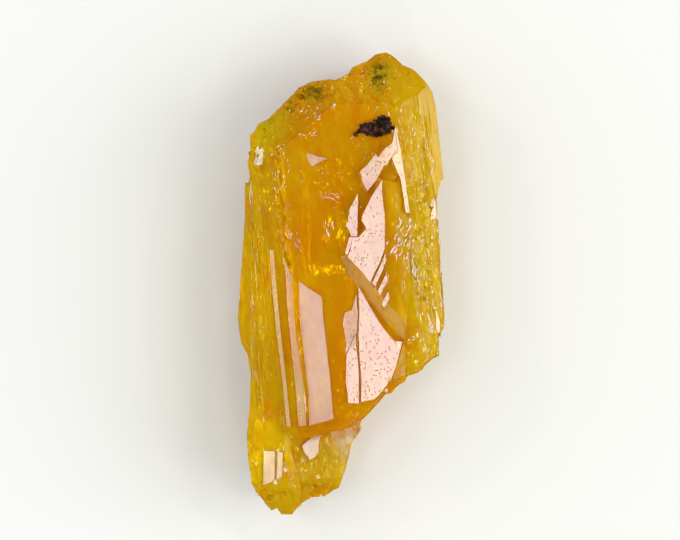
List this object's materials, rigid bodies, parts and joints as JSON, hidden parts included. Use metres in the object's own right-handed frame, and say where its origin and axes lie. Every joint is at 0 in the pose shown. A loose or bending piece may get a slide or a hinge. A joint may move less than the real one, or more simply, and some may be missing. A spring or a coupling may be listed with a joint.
{
  "type": "legrandite crystal",
  "caption": "Clear golden yellow legrandite crystal of intergrown prisms with bright growth plates on its front and a small dark iron oxide crust, lying on its back.",
  "frame": {"origin": "middle of the crystal's footprint, on the surface that it rests on", "axes": "+Y along the crystal towards its domed end, +X across it to the right as seen in the picture, +Z out of its front"},
  "size_m": [0.0082, 0.0184, 0.0056],
  "materials": {
    "crystal": "clear golden yellow crystal, mirror bright on its growth plates and striated or rough elsewhere",
    "iron_oxide_crust": "dark red-brown granular iron oxide with a semi-metallic sheen"
  },
  "bodies": {
    "root": {"crystal": "crystal", "iron_oxide_crust": "iron_oxide_crust"}
  },
  "joints": []
}
